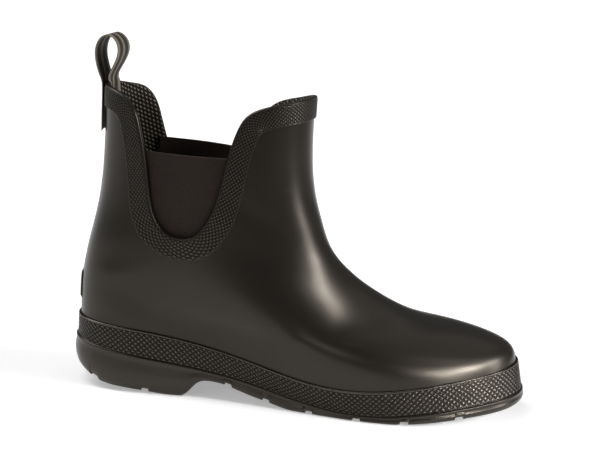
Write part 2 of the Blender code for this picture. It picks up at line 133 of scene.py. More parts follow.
# Profile of the side, bead first: distance outside the last, share of the wall's height below its top
# edge, and millimetres more
SOLE_PROFILE = np.array((
    (RIM - 2.2, 0.0, 0.0), (RIM - 1.35, 0.0, 0.05), (RIM - 0.8, 0.0, 0.25), (RIM - 0.5, 0.0, 0.7),
    (RIM - 0.5, 0.0, 1.2), (RIM - 0.7, 0.0, 1.7), (RIM - 0.65, 0.14, 1.6), (RIM - 0.15, 0.35, 1.0),
    (RIM, 0.55, 0.5), (RIM - 0.35, 0.8, 0.1), (RIM - 1.0, 0.95, 0.0), (RIM - 1.9, 0.99, 0.0),
    (RIM - 3.0, 1.0, 0.0),
))

INSOLE_THICK = 4.0
INSOLE_CLEAR = 0.8
INSOLE_CUP = 1.2  # how far its edges rise
PATCH_HALF = math.radians(11.0)
PATCH_LOW = 51.0
PATCH_HIGH = 67.0
PATCH_DRAWN = 0.56  # thinner than the solid's, as its edge hardly shows

TAPE_WIDTH = 20.0
TAPE_THICK = 0.7
# x, z, turn about the vertical in degrees, bow of the edges
TAPE_PATH = np.array((
    (14.75, 155.0, 0.0, 1.6),
    (14.75, 168.0, 0.0, 1.6),
    (14.75, 179.0, 0.0, 1.6),
    (14.8, 183.4, 1.0, 1.5),
    (15.35, 186.3, 4.0, 0.7),
    (14.9, 189.6, 6.0, 0.1),
    (13.7, 193.6, 6.5, 0.0),
    (12.6, 198.6, 6.5, 0.0),
    (12.4, 204.0, 6.5, 0.0),
    (14.5, 210.1, 6.5, 0.0),
    (19.5, 213.0, 5.5, 0.0),
    (24.5, 209.8, 6.0, 0.0),
    (26.3, 204.0, 6.5, 0.0),
    (24.9, 198.0, 6.0, 0.0),
    (22.0, 192.0, 4.5, 0.0),
    (20.4, 188.5, 3.5, 0.1),
    (19.95, 185.6, 2.0, 0.7),
    (20.2, 182.6, 0.0, 1.7),
    (20.25, 172.0, 0.0, 1.85),
    (20.3, 164.0, 0.0, 1.85),
))

# Embossed bands: size of a diamond along and across the band, where the diamonds start, their height
FOXING_TALL = 14.2
FOXING_DIAMOND = (3.6, 2.9)
FOXING_START = 0.65
FOXING_RELIEF = 0.6
TRIM_DIAMOND = (2.8, 2.2)
TRIM_START = 0.7
TRIM_RELIEF = 0.5
# Their plain edges, then the back: place across the band, height above the upper
FOXING_FOOT = np.array(((0.0, 0.1), (0.0, 1.2), (0.3, 1.5), (0.5, 1.4)))
FOXING_RIM = np.array((
    (FOXING_TALL - 1.1, 1.1), (FOXING_TALL - 0.9, 1.4), (FOXING_TALL - 0.5, 1.5), (FOXING_TALL - 0.1, 1.35),
    (FOXING_TALL + 0.12, 0.8), (FOXING_TALL + 0.3, 0.05), (10.0, 0.1), (5.0, 0.1),
))
TRIM_EDGE = np.array(((0.0, 0.05), (0.18, 0.5), (0.5, 0.8)))
TRIM_FOOT = np.array((
    (TRIM_WIDTH - 0.75, 0.95), (TRIM_WIDTH - 0.5, 1.2), (TRIM_WIDTH - 0.2, 1.1), (TRIM_WIDTH, 0.5),
    (TRIM_WIDTH, 0.05), (9.0, 0.05), (5.0, 0.05), (1.0, 0.05),
))

# Surface textures, in millimetres; a wave texture repeats about every 0.3 divided by its scale
RUBBER_CLOUD = 35.0  # patches of more and less gloss
RIB_PITCH = 1.0
RIB_RELIEF = 0.16
KNIT_FUZZ = 0.6
WAVE_BAND = 0.3
CLOTH_PITCH = 1.2
WALE_SCALE = 0.45  # a wale each 0.7 mm
WEFT_SCALE = 0.55  # a cross thread each 0.6 mm
WARP_SCALE = 0.42  # a long thread each 0.7 mm
# The lining's loops: two steps of their lattice and half sizes of a loop, girth against height
LOOP_STEPS = np.array(((-0.54, 2.68), (2.68, -1.06)))
LOOP_HALF = (1.15, 0.46)
LOOP_TURN = math.radians(-44.0)

# Soft creases of the rubber: x, z, slope of its run in degrees, half length, half width, depth
CREASES = np.array((
    (118.0, 112.0, -38.0, 26.0, 7.0, 0.35),
    (128.0, 96.0, -30.0, 22.0, 8.0, -0.30),
    (34.0, 84.0, 15.0, 18.0, 8.0, 0.30),
    (30.0, 72.0, 8.0, 16.0, 6.0, -0.25),
    (170.0, 58.0, 62.0, 20.0, 9.0, 0.25),
))


def cardinal(knots, at):
    """Weights, one for each knot, of the natural cubic spline through values given at the knots."""
    knots = np.asarray(knots, float)
    at = np.asarray(at, float)
    count = len(knots)
    step = np.diff(knots)
    system = np.eye(count)
    change = np.zeros((count, count))
    for k in range(1, count - 1):
        system[k, k - 1:k + 2] = step[k - 1], 2 * (step[k - 1] + step[k]), step[k]
        change[k, k - 1] = 6 / step[k - 1]
        change[k, k + 1] = 6 / step[k]
        change[k, k] = -change[k, k - 1] - change[k, k + 1]
    bend = np.linalg.solve(system, change)
    cell = np.clip(np.searchsorted(knots, at) - 1, 0, count - 2)
    width = step[cell]
    right = (at - knots[cell]) / width
    left = 1 - right
    unit = np.eye(count)
    curve = (left**3 - left)[..., None] * bend[cell] + (right**3 - right)[..., None] * bend[cell + 1]
    line = left[..., None] * unit[cell] + right[..., None] * unit[cell + 1]
    return line + curve * (width**2 / 6)[..., None]


def surface(angle, level):
    """Outside of the upper: a closed loop at each level, x by the cosine of the angle, y by its sine
    times a spread splined along the length, z splined along the length; columns splined over levels."""
    angle, level = np.broadcast_arrays(np.asarray(angle, float), np.asarray(level, float))
    rows = cardinal(LEVELS, level)
    section = rows @ SECTIONS
    medial = (np.sin(angle) >= 0)[..., None]
    halves = np.where(medial, rows @ MEDIAL, rows @ LATERAL)
    length = section[..., 1] - section[..., 0]
    along = (1 - np.cos(angle)) / 2
    inner = np.array(WIDTH_STATIONS[1:-1])
    spread = np.empty(halves.shape)
    spread[..., 0] = np.sqrt(halves[..., 0] * length / 2)
    spread[..., 1:-1] = halves[..., 1:-1] / (2 * np.sqrt(inner * (1 - inner)))
    spread[..., -1] = np.sqrt(halves[..., -1] * length / 2)
    x = section[..., 0] + length * along
    y = np.sin(angle) * (cardinal(WIDTH_STATIONS, along) * spread).sum(-1)
    z = (cardinal(HEIGHT_STATIONS, along) * section[..., 2:]).sum(-1)
    return np.stack([x, y, z], -1)


def outward(angle, level):
    """Unit normal of the upper, from differences along and up the surface."""
    small = 0.001
    around = surface(angle + small, level) - surface(angle - small, level)
    above = surface(angle, np.minimum(level + small, TOP_LEVEL))
    below = surface(angle, np.maximum(level - small, 0))
    normal = np.cross(above - below, around)
    return normal / np.linalg.norm(normal, axis=-1, keepdims=True)


def creased(point):
    """Depth of the soft creases: each a bell across its run, fading along it, on both sides."""
    total = np.zeros(point.shape[:-1])
    for x, z, slope, run, wide, depth in CREASES:
        c, s = math.cos(math.radians(slope)), math.sin(math.radians(slope))
        dx, dz = point[..., 0] - x, point[..., 2] - z
        total -= depth * np.exp(-((dx * c + dz * s) / run) ** 2 - ((dz * c - dx * s) / wide) ** 2)
    return total


def offset(angle, level, distance):
    """Point that far outside the upper, with the creases."""
    angle, level, distance = np.broadcast_arrays(angle, level, np.asarray(distance, float))
    foot = surface(angle, level)
    return foot + outward(angle, level) * (distance + creased(foot))[..., None]


def level_at(angle, height):
    """Level at which the surface has that height, by halving."""
    angle, height = np.broadcast_arrays(np.asarray(angle, float), np.asarray(height, float))
    low = np.zeros(angle.shape)
    high = np.full(angle.shape, float(TOP_LEVEL))
    for _ in range(26):
        middle = (low + high) / 2
        above = surface(angle, middle)[..., 2] > height
        high = np.where(above, middle, high)
        low = np.where(above, low, middle)
    return (low + high) / 2


def run_along(points):
    """Distance travelled along a row of points, from 0 at the first."""
    return np.concatenate([[0.0], np.cumsum(np.linalg.norm(np.diff(points, axis=0), axis=1))])


RING_ANGLE = np.linspace(math.pi, 2 * math.pi, 361)
RING = surface(RING_ANGLE, level_at(RING_ANGLE, RING_HEIGHT))
RING_GIRTH = run_along(RING)
HALF_GIRTH = RING_GIRTH[-1]
GIRTH = np.linspace(0.0, HALF_GIRTH, 1601)
AROUND = np.linspace(0.0, 2 * math.pi, 720)
EXTENT = surface(AROUND, 0.0) + RIM * outward(AROUND, 0.0)
CENTRE = (EXTENT.max(0) + EXTENT.min(0)) / 2 * (1, 1, 0)


def collar_height(line):
    """Height over GIRTH of the collar line of one side: a natural spline through its points."""
    curve = cardinal(range(len(line)), np.linspace(0.0, len(line) - 1.0, 1201)) @ line
    return np.interp(GIRTH, curve[:, 0], curve[:, 1])


def moved(height, distance):
    """Line at a distance from a line over GIRTH, measured across it: the envelope of discs set along it,
    above it or, if negative, below."""
    girth = np.concatenate([-GIRTH[:0:-1], GIRTH, 2 * HALF_GIRTH - GIRTH[-2::-1]])
    known = np.concatenate([height[:0:-1], height, height[-2::-1]])
    apart = GIRTH[:, None] - girth[None, :]
    reach = np.sqrt(np.maximum(distance**2 - apart**2, 0))
    near = np.abs(apart) < abs(distance)
    if distance > 0:
        return np.where(near, known[None, :] + reach, -FAR).max(1)
    return np.where(near, known[None, :] - reach, FAR).min(1)


def trim_low(line):
    """Lower edge of the trim over GIRTH: its width below the collar line, its inner corners rounded."""
    return moved(moved(collar_height(line), -TRIM_WIDTH - TRIM_ROUND), TRIM_ROUND)


def evenly(height, count):
    """Evenly spaced points of a line over GIRTH, from front to back: girth, height, run along it."""
    travelled = run_along(np.stack([GIRTH, height], -1))
    even = np.linspace(0.0, travelled[-1], count)
    return np.interp(even, travelled, GIRTH), np.interp(even, travelled, height), even


def joined(lateral, medial):
    """Loop round the boot from two halves that each run front to back: lateral half, then medial half."""
    return np.concatenate([lateral[:-1], medial[:0:-1]])


def to_angle(girth, side):
    """Angle for a distance round the shaft; side -1 is lateral, 1 medial."""
    angle = np.interp(girth, RING_GIRTH, RING_ANGLE)
    return angle if side < 0 else 2 * math.pi - angle


SIDES = ((-1, COLLAR_LATERAL), (1, COLLAR_MEDIAL))


def smooth(start, end, at):
    """Smooth step from 0 at start to 1 at end."""
    t = np.clip((at - start) / (end - start), 0, 1)
    return t * t * (3 - 2 * t)


# Materials

def linear(colour):
    """sRGB hex to a linear RGBA tuple."""
    parts = [int(colour[k:k + 2], 16) / 255 for k in (1, 3, 5)]
    return (*(p / 12.92 if p <= 0.04045 else ((p + 0.055) / 1.055) ** 2.4 for p in parts), 1.0)


def feed(tree, made, inputs):
    """Sets a node's inputs: a value goes onto the socket itself, a socket is linked to it."""
    for name, value in inputs.items():
        if isinstance(value, bpy.types.NodeSocket):
            tree.links.new(value, made.inputs[name])
        else:
            made.inputs[name].default_value = value


def node(tree, kind, settings, inputs):
    """Adds a node: settings are its properties, inputs are values or the sockets that feed them."""
    made = tree.nodes.new(kind)
    for name, value in settings.items():
        setattr(made, name, value)
    feed(tree, made, inputs)
    return made


def graded(tree, value, low, high, first, last):
    """Colour that goes from first to last, both hex, as the value goes from low to high."""
    share = node(tree, "ShaderNodeMapRange", {}, {"Value": value, "From Min": low, "From Max": high})
    # a colour mix has its factor at input 0, its colours at inputs 6 and 7, and its result at output 2
    mix = node(tree, "ShaderNodeMix", {"data_type": "RGBA"},
               {0: share.outputs["Result"], 6: linear(first), 7: linear(last)})
    return mix.outputs[2]


def new_material(name):
    """Empty node material with its Principled shader."""
    made = bpy.data.materials.new(name)
    made.use_nodes = True
    return made, made.node_tree, made.node_tree.nodes["Principled BSDF"]


def moulded_rubber(name, dark, light, polished, dull, grain, embossed=False):
    """Vulcanised natural rubber, moulded and left satin: near black, a little brown, with cloudy differences
    in gloss, a very fine skin grain and a few hairline rub marks. On an embossed band the emboss attribute
    sets colour, gloss and reflectance instead: painted shade darkens the grooves, which are also dull, and a
    painted highlight makes the tops reflect more."""
    made, tree, shader = new_material(name)
    place = node(tree, "ShaderNodeTexCoord", {}, {}).outputs["Object"]
    cloud = node(tree, "ShaderNodeTexNoise", {},
                 {"Vector": place, "Scale": 1 / (RUBBER_CLOUD * MM), "Detail": 3.0})
    skin = node(tree, "ShaderNodeTexNoise", {},
                {"Vector": place, "Scale": 1 / (grain * MM), "Detail": 2.0})
    # rub marks: about 33 mm long and 2.4 mm apart
    turned = node(tree, "ShaderNodeMapping", {},
                  {"Vector": place, "Rotation": (0.3, 0.5, 0.2), "Scale": (30.0, 30.0, 420.0)})
    rub = node(tree, "ShaderNodeTexNoise", {},
               {"Vector": turned.outputs["Vector"], "Scale": 1.0, "Detail": 4.0, "Distortion": 0.6})
    mark = node(tree, "ShaderNodeMapRange", {},
                {"Value": rub.outputs["Fac"], "From Min": 0.66, "From Max": 0.74})
    shade, low, high = cloud.outputs["Fac"], 0.35, 0.7
    # on an embossed band the height paints shade: grooves darker, tops lighter
    if embossed:
        raised = node(tree, "ShaderNodeAttribute", {"attribute_name": "emboss"}, {})
        shade, low, high = raised.outputs["Fac"], 0.1, 0.8
    colour = graded(tree, shade, low, high, dark, light)
    gloss = node(tree, "ShaderNodeMapRange", {},
                 {"Value": shade, "From Min": low, "From Max": high, "To Min": dull, "To Max": polished})
    worn = node(tree, "ShaderNodeMath", {"operation": "MULTIPLY_ADD"},
                {0: mark.outputs["Result"], 1: 0.08, 2: gloss.outputs["Result"]})
    bump = node(tree, "ShaderNodeBump", {},
                {"Strength": 0.12, "Distance": 0.12 * MM, "Height": skin.outputs["Fac"]})
    feed(tree, shader, {"Base Color": colour, "Roughness": worn.outputs["Value"],
                        "Normal": bump.outputs["Normal"], "IOR": 1.5, "Specular IOR Level": 0.46,
                        "Specular Tint": linear("#fff2e1")})
    if embossed:
        # painted highlight and shade: the tops reflect more than plain rubber and the grooves less, whatever
        # the lamps
        painted_glint_level = node(tree, "ShaderNodeMapRange", {},
                     {"Value": shade, "From Min": 0.2, "From Max": 0.8, "To Min": 0.2, "To Max": 0.86})
        feed(tree, shader, {"Specular IOR Level": painted_glint_level.outputs["Result"]})
    return made


def ribbed_knit():
    """Elastic gore webbing: brown-black covered rubber threads, dull, with a faint fuzz and wale lines."""
    made, tree, shader = new_material("elastic_gore_knit")
    flat = node(tree, "ShaderNodeUVMap", {"uv_map": "flat"}, {}).outputs["UV"]
    wale = node(tree, "ShaderNodeTexWave", {"bands_direction": "X"},
                {"Vector": flat, "Scale": WALE_SCALE, "Distortion": 0.4, "Detail": 1.0})
    place = node(tree, "ShaderNodeTexCoord", {}, {}).outputs["Object"]
    fuzz = node(tree, "ShaderNodeTexNoise", {},
                {"Vector": place, "Scale": 1 / (KNIT_FUZZ * MM), "Detail": 2.0})
    mixed = node(tree, "ShaderNodeMath", {"operation": "ADD"},
                 {0: wale.outputs["Fac"], 1: fuzz.outputs["Fac"]})
    colour = graded(tree, fuzz.outputs["Fac"], 0.3, 0.75, "#201813", "#352a22")
    bump = node(tree, "ShaderNodeBump", {},
                {"Strength": 0.3, "Distance": 0.12 * MM, "Height": mixed.outputs["Value"]})
    feed(tree, shader, {"Base Color": colour, "Normal": bump.outputs["Normal"], "Roughness": 0.75,
                        "Specular IOR Level": 0.3, "Sheen Weight": 0.06, "Sheen Roughness": 0.5,
                        "Sheen Tint": linear("#d8c8b4")})
    return made


def dotted_lining():
    """Polyester lining knit: brown-black ground with a slanting lattice of small pale raised loops,
    each a short slanting dash."""
    made, tree, shader = new_material("dotted_lining_knit")
    flat = node(tree, "ShaderNodeUVMap", {"uv_map": "flat"}, {}).outputs["UV"]
    waves = np.linalg.inv(LOOP_STEPS.T)
    c, s = math.cos(LOOP_TURN), math.sin(LOOP_TURN)
    shape = np.array(((c, s), (-s, c))) / np.array(LOOP_HALF)[:, None] @ LOOP_STEPS.T
    steps = [node(tree, "ShaderNodeVectorMath", {"operation": "DOT_PRODUCT"},
                  {0: flat, 1: (*wave, 0.0)}).outputs["Value"] for wave in waves]
    lattice = node(tree, "ShaderNodeCombineXYZ", {}, {"X": steps[0], "Y": steps[1]})
    cell = node(tree, "ShaderNodeVectorMath", {"operation": "FRACTION"}, {0: lattice.outputs["Vector"]})
    centred = node(tree, "ShaderNodeVectorMath", {"operation": "SUBTRACT"},
                   {0: cell.outputs["Vector"], 1: (0.5, 0.5, 0.0)}).outputs["Vector"]
    sides = [node(tree, "ShaderNodeVectorMath", {"operation": "DOT_PRODUCT"},
                  {0: centred, 1: (*row, 0.0)}).outputs["Value"] for row in shape]
    oval = node(tree, "ShaderNodeCombineXYZ", {}, {"X": sides[0], "Y": sides[1]})
    away = node(tree, "ShaderNodeVectorMath", {"operation": "LENGTH"}, {0: oval.outputs["Vector"]})
    loop = node(tree, "ShaderNodeMapRange", {"interpolation_type": "SMOOTHSTEP"},
                {"Value": away.outputs["Value"], "From Min": 1.15, "From Max": 0.45})
    colour = graded(tree, loop.outputs["Result"], 0.0, 1.0, "#1a1510", "#9a9284")
    bump = node(tree, "ShaderNodeBump", {},
                {"Strength": 0.8, "Distance": 0.4 * MM, "Height": loop.outputs["Result"]})
    feed(tree, shader, {"Base Color": colour, "Normal": bump.outputs["Normal"], "Roughness": 0.7,
                        "Specular IOR Level": 0.15})
    return made


def striped_tape():
    """Woven polyester tape: pale beige edges, two olive-brown bands and a thin pale middle stripe, with
    fine cross threads."""
    made, tree, shader = new_material("striped_woven_tape")
    flat = node(tree, "ShaderNodeUVMap", {"uv_map": "flat"}, {}).outputs["UV"]
    apart = node(tree, "ShaderNodeSeparateXYZ", {}, {"Vector": flat})
    aside = node(tree, "ShaderNodeMath", {"operation": "ABSOLUTE"}, {0: apart.outputs["X"]})
    share = node(tree, "ShaderNodeMath", {"operation": "DIVIDE"},
                 {0: aside.outputs["Value"], 1: TAPE_WIDTH / 2}).outputs["Value"]
    inner = node(tree, "ShaderNodeMapRange", {}, {"Value": share, "From Min": 0.13, "From Max": 0.19})
    outer = node(tree, "ShaderNodeMapRange", {}, {"Value": share, "From Min": 0.70, "From Max": 0.64})
    dark = node(tree, "ShaderNodeMath", {"operation": "MULTIPLY"},
                {0: inner.outputs["Result"], 1: outer.outputs["Result"]})
    stripe = graded(tree, dark.outputs["Value"], 0.0, 1.0, "#91887a", "#2e271e")
    thread = node(tree, "ShaderNodeTexWave", {"bands_direction": "Y"},
                  {"Vector": flat, "Scale": WEFT_SCALE, "Distortion": 0.5, "Detail": 1.0})
    ends = node(tree, "ShaderNodeTexWave", {"bands_direction": "X"}, {"Vector": flat, "Scale": WARP_SCALE})
    weave = node(tree, "ShaderNodeMath", {"operation": "MULTIPLY"},
                 {0: thread.outputs["Fac"], 1: ends.outputs["Fac"]})
    shade = node(tree, "ShaderNodeMapRange", {},
                 {"Value": weave.outputs["Value"], "To Min": 0.75, "To Max": 1.1})
    colour = node(tree, "ShaderNodeVectorMath", {"operation": "SCALE"},
                  {0: stripe, "Scale": shade.outputs["Result"]})
    bump = node(tree, "ShaderNodeBump", {},
                {"Strength": 0.5, "Distance": 0.2 * MM, "Height": weave.outputs["Value"]})
    feed(tree, shader, {"Base Color": colour.outputs["Vector"], "Normal": bump.outputs["Normal"],
                        "Roughness": 0.75})
    return made


def footbed_cloth():
    """Knitted top cloth on foam: charcoal, matt, with a small cross weave."""
    made, tree, shader = new_material("footbed_cloth")
    place = node(tree, "ShaderNodeTexCoord", {}, {}).outputs["Object"]
    weft, warp = (node(tree, "ShaderNodeTexWave", {"bands_direction": way},
                       {"Vector": place, "Scale": WAVE_BAND / (CLOTH_PITCH * MM)}) for way in "XY")
    cloth = node(tree, "ShaderNodeMath", {"operation": "MULTIPLY"},
                 {0: weft.outputs["Fac"], 1: warp.outputs["Fac"]})
    colour = graded(tree, cloth.outputs["Value"], 0.1, 0.8, "#1d1c1b", "#3a3836")
    bump = node(tree, "ShaderNodeBump", {},
                {"Strength": 0.4, "Distance": 0.2 * MM, "Height": cloth.outputs["Value"]})
    feed(tree, shader, {"Base Color": colour, "Normal": bump.outputs["Normal"], "Roughness": 0.9})
    return made


UPPER_RUBBER = moulded_rubber("satin_moulded_rubber", "#110f0d", "#161310", 0.29, 0.34, 0.7)
# its grooves are coloured near black: painted shade in the hollows between the diamonds
KNURL_RUBBER = moulded_rubber("embossed_rubber_tape", "#050404", "#15120f", 0.19, 0.5, 0.5, True)
SOLE_RUBBER = moulded_rubber("matt_sole_rubber", "#131110", "#181513", 0.26, 0.33, 0.6)
GORE_KNIT = ribbed_knit()
LINING_KNIT = dotted_lining()
LOOP_TAPE = striped_tape()
FOOTBED = footbed_cloth()


# Meshes

def quads(rows, columns, around, closed):
    """Corner numbers of the quads of a grid, row by row."""
    across = columns if around else columns - 1
    upward = rows if closed else rows - 1
    k, j = np.meshgrid(np.arange(upward), np.arange(across), indexing="ij")
    right, above = (j + 1) % columns, (k + 1) % rows
    corners = k * columns + j, k * columns + right, above * columns + right, above * columns + j
    return np.stack(corners, -1).reshape(-1, 4)


def end_caps(rows, columns):
    """Quads that close both ends of a tube whose rows run out along one face and back along the other."""
    cap = np.arange(columns // 2 - 1)
    first = np.stack([cap, cap + 1, columns - 2 - cap, columns - 1 - cap], -1)
    return np.concatenate([first[:, ::-1], first + (rows - 1) * columns])


def corner_flat(u, v):
    """UV of each quad corner of a grid, from the values u of its columns and v of its rows."""
    k, j = np.meshgrid(np.arange(len(v) - 1), np.arange(len(u) - 1), indexing="ij")
    corners = [np.stack([u[j + right], v[k + above]], -1)
               for right, above in ((0, 0), (1, 0), (1, 1), (0, 1))]
    return np.stack(corners, -2).reshape(-1, 4, 2)


def piece(name, points, faces, material, replaces=(), flat=None):
    """Mesh piece from millimetre points; flat gives a UV in millimetres for each face corner."""
    points = (np.asarray(points).reshape(-1, 3) - CENTRE) * MM
    a, b, c, d = (points[faces[:, k]] for k in range(4))
    volume = (a * np.cross(b, c)).sum() + (a * np.cross(c, d)).sum()
    if volume < 0:
        faces = faces[:, ::-1]
        flat = None if flat is None else flat[:, ::-1]
    mesh = bpy.data.meshes.new(name)
    mesh.vertices.add(len(points))
    mesh.vertices.foreach_set("co", points.astype(np.float32).ravel())
    mesh.loops.add(faces.size)
    mesh.loops.foreach_set("vertex_index", faces.astype(np.int32).ravel())
    mesh.polygons.add(len(faces))
    mesh.polygons.foreach_set("loop_start", np.arange(0, faces.size, 4, dtype=np.int32))
    mesh.polygons.foreach_set("use_smooth", np.ones(len(faces), bool))
    mesh.update(calc_edges=True)
    if flat is not None:
        layer = mesh.uv_layers.new(name="flat")
        layer.data.foreach_set("uv", flat.astype(np.float32).ravel())
    mesh.materials.append(material)
    made = bpy.data.objects.new(name, mesh)
    bpy.context.scene.collection.objects.link(made)
    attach(made, "root")
    if replaces:
        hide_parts(*replaces)
    return made


def add_height(made, height):
    """Stores the height of an embossed texture, 0 in its grooves and 1 on its tops, for the material, which
    paints shade into the grooves from it.
    """
    layer = made.data.attributes.new("emboss", 'FLOAT', 'POINT')
    layer.data.foreach_set("value", np.asarray(height, np.float32).ravel())


def pyramid(u, v, diamond):
    """Diamond pyramids: the lesser of two triangle waves along the diagonals, rounded at the top."""
    first = 1 - np.abs(2 * np.mod(u / diamond[0] + v / diamond[1], 1) - 1)
    second = 1 - np.abs(2 * np.mod(u / diamond[0] - v / diamond[1], 1) - 1)
    height = np.minimum(first, second)
    return height * (1.2 - 0.2 * height)


def band_profile(before, start, step, rows, base, after):
    """Rows of an embossed band: a plain edge, the rows of the diamonds from start on, and the other plain
    edge with the back. Gives place across, height above the upper, and 1 where the diamonds are."""
    across = np.concatenate([before[:, 0], start + np.arange(rows) * step, after[:, 0]])
    height = np.concatenate([before[:, 1], np.full(rows, base), after[:, 1]])
    knurl = np.concatenate([np.zeros(len(before)), np.ones(rows), np.zeros(len(after))])
    return across, height, knurl


def add_upper():
    """Outer wall from the sole to the collar line, over the edge and down the inner wall; the lining is
    a thin closed layer inside it."""
    edges = [evenly(collar_height(line), 241) for _, line in SIDES]
    angle = joined(*(to_angle(edge[0], side) for edge, (side, _) in zip(edges, SIDES)))
    top = level_at(angle, joined(edges[0][1], edges[1][1]))
    outer = np.linspace(0.0, 1.0, 101)[:, None]
    inner = np.linspace(1.0, 0.0, 31)[:, None]
    points = np.concatenate([offset(angle, top * outer, 0.0), offset(angle, top * inner, -WALL)])
    faces = quads(*points.shape[:2], True, True)
    piece("upper_rubber", points, faces, UPPER_RUBBER, ("upper",))
    layers = (np.linspace(0.0, 1.0, 61)[:, None], 0.2), (np.linspace(1.0, 0.0, 13)[:, None], 0.05)
    points = np.concatenate([offset(angle, LINING_LOW + (top - LINING_LOW) * up, -WALL - depth)
                             for up, depth in layers])
    run = np.append(joined(edges[0][0], 2 * HALF_GIRTH - edges[1][0]), 2 * HALF_GIRTH)
    faces = quads(*points.shape[:2], True, True)
    tall = points[..., 2].ravel()[faces]
    columns = np.tile(np.stack([run[:-1], run[1:], run[1:], run[:-1]], -1), (len(points), 1))
    piece("lining", points, faces, LINING_KNIT, (), np.stack([columns, tall], -1))


def band_half(count, share, side, line):
    """Angle and level of points at shares of the way from the collar edge to the nearest point of the
    trim's lower edge, for one side of the boot; a running mean evens out where those points lie."""
    girth, height, run = evenly(collar_height(line), count)
    edge = np.stack([girth, height], -1)
    low_girth, low_height, low_run = evenly(trim_low(line), 1601)
    low = np.stack([low_girth, low_height], -1)
    nearest = low_run[((edge[:, None, :] - low[None, :, :]) ** 2).sum(-1).argmin(1)]
    reach = 12
    before = 2 * nearest[0] - nearest[reach:0:-1]
    after = 2 * nearest[-1] - nearest[-2:-reach - 2:-1]
    window = np.ones(2 * reach + 1) / (2 * reach + 1)
    nearest = np.convolve(np.concatenate([before, nearest, after]), window, "valid")
    foot = np.stack([np.interp(nearest, low_run, low_girth), np.interp(nearest, low_run, low_height)], -1)
    spot = edge[:, None, :] + (foot - edge)[:, None, :] * share[None, :, None]
    angle = to_angle(np.clip(spot[..., 0], 0.0, HALF_GIRTH), side)
    return angle, level_at(angle, spot[..., 1]), run


def add_trim():
    """Embossed band: a strip along the collar edge, diamond pyramids between two narrow plain edges."""
    cells = 6
    step = TRIM_DIAMOND[1] / cells
    across, base, knurl = band_profile(TRIM_EDGE, TRIM_START, step, 31, 0.85, TRIM_FOOT)
    bands, heights = [], []
    for side, line in SIDES:
        length = evenly(collar_height(line), 3)[2][-1]
        whole = int(round(length / TRIM_DIAMOND[0]))
        angle, level, run = band_half(cells * whole + 1, across / TRIM_WIDTH, side, line)
        raised = pyramid(run[:, None], across - TRIM_START, (length / whole, TRIM_DIAMOND[1])) * knurl
        bands.append(offset(angle, level, base + raised * TRIM_RELIEF))
        heights.append(np.where(knurl > 0, raised, 0.5))
    points = joined(*bands)
    faces = quads(*points.shape[:2], True, True)
    made = piece("collar_trim_band", points, faces, KNURL_RUBBER, ("collar_trim",))
    add_height(made, joined(*heights))


def add_collar_bead():
    """Rounded turned edge along the collar: an oval carried along the collar line."""
    turn = np.linspace(0.0, 2 * math.pi, 17)[:-1]
    rings = []
    for side, line in SIDES:
        girth, height, _ = evenly(collar_height(line), 421)
        angle = to_angle(girth, side)
        level = level_at(angle, height)
        spine = offset(angle, level, -BEAD_IN)
        normal = outward(angle, level)
        ahead = np.gradient(spine, axis=0)
        ahead /= np.linalg.norm(ahead, axis=1, keepdims=True)
        ahead[0] = ahead[-1] = 0, side, 0
        above = np.cross(normal, ahead) * -side
        out, up = (half * wave(turn)[:, None] for half, wave in zip(BEAD_HALF, (np.cos, np.sin)))
        rings.append(spine[:, None, :] + normal[:, None, :] * out + above[:, None, :] * up)
    points = joined(*rings)
    piece("collar_bead", points, quads(*points.shape[:2], True, True), UPPER_RUBBER)


def add_foxing():
    """Embossed foxing: diamond pyramids between a plain rim above and a plain foot below."""
    cells = 8
    dense = np.linspace(0.0, 2 * math.pi, 2881)
    travelled = run_along(surface(dense, 0.5))
    whole = int(round(travelled[-1] / FOXING_DIAMOND[0]))
    run = np.arange(cells * whole) * travelled[-1] / (cells * whole)
    angle = np.interp(run, travelled, dense)
    step = FOXING_DIAMOND[1] / cells
    profile = band_profile(FOXING_FOOT, FOXING_START, step, 35, 1.0, FOXING_RIM)
    up, base, knurl = (column[:, None] for column in profile)
    raised = pyramid(run, up - FOXING_START, (travelled[-1] / whole, FOXING_DIAMOND[1])) * knurl
    points = offset(angle, up / FOXING_TALL, base + raised * FOXING_RELIEF)
    faces = quads(*points.shape[:2], True, True)
    made = piece("foxing_band", points, faces, KNURL_RUBBER, ("foxing",))
    add_height(made, np.where(knurl > 0, raised, 0.7))


